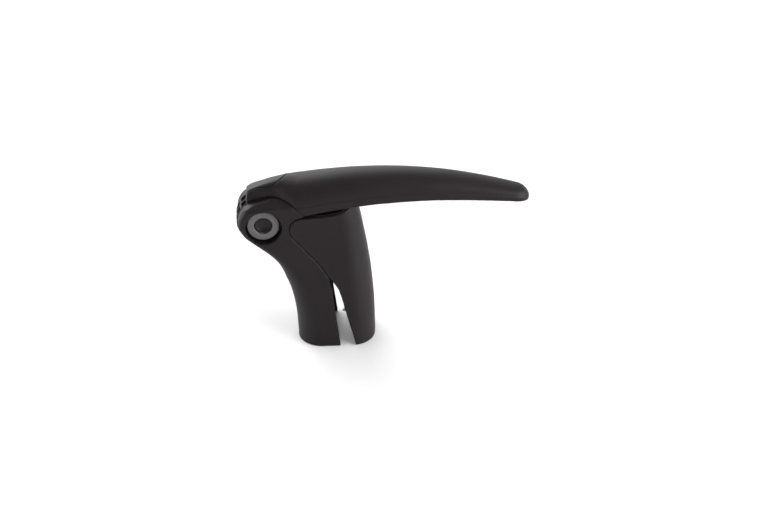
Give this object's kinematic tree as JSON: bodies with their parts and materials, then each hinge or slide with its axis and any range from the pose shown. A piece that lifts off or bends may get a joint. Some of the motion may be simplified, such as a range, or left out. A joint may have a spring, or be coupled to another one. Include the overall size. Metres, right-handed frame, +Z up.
{
  "type": "sparkling wine cork opener",
  "caption": "Hand opener for sparkling wine: split tube that stands over the bottle mouth, with a hinged front jaw worked by a long curved lever.",
  "frame": {"origin": "centre of the overall box in plan, on the surface that the two jaw feet stand on, with the lever down", "axes": "+X towards the lever tip, +Y away from the viewed side, +Z up"},
  "size_m": [0.1612, 0.0364, 0.1025],
  "materials": {
    "soft_black": "fine-grained soft matte charcoal",
    "core_black": "matte moulded",
    "liner_rubber": "matte",
    "ring_grey": "satin grey",
    "cap_black": "semi gloss",
    "steel": "bright"
  },
  "bodies": {
    "frame": {"rear_body": "soft_black", "rear_grip_liner": "liner_rubber", "lever_pivot_pin": "steel", "pivot_ring_near": "ring_grey", "pivot_ring_far": "ring_grey", "pin_cap_near": "cap_black", "pin_cap_far": "cap_black", "jaw_hinge_pin": "steel", "jaw_return_spring": "steel", "spring_washer": "steel"},
    "lever": {"lever_core": "core_black", "lever_cover": "soft_black", "lever_base_panel": "core_black", "hub_bush_near": "steel", "hub_bush_far": "steel", "lever_screw_1": "steel", "lever_screw_2": "steel", "lever_screw_3": "steel"},
    "jaw": {"front_jaw": "soft_black", "front_grip_liner_upper": "liner_rubber", "front_grip_liner_lower": "liner_rubber", "front_tooth_plate": "steel"}
  },
  "joints": [
    {"name": "lever_hinge", "type": "hinge", "parent": "frame", "child": "lever", "pos_m": [-0.06616, 0, 0.0753], "axis": [0, -1, 0], "range_deg": [0, 45]},
    {"name": "jaw_hinge", "type": "hinge", "parent": "frame", "child": "jaw", "pos_m": [-0.04446, 0, 0.0734], "axis": [0, -1, 0], "range_deg": [0, 18]}
  ],
  "couplings": [
    {"joint": "jaw_hinge", "follows": "lever_hinge", "ratio": 0.4}
  ]
}
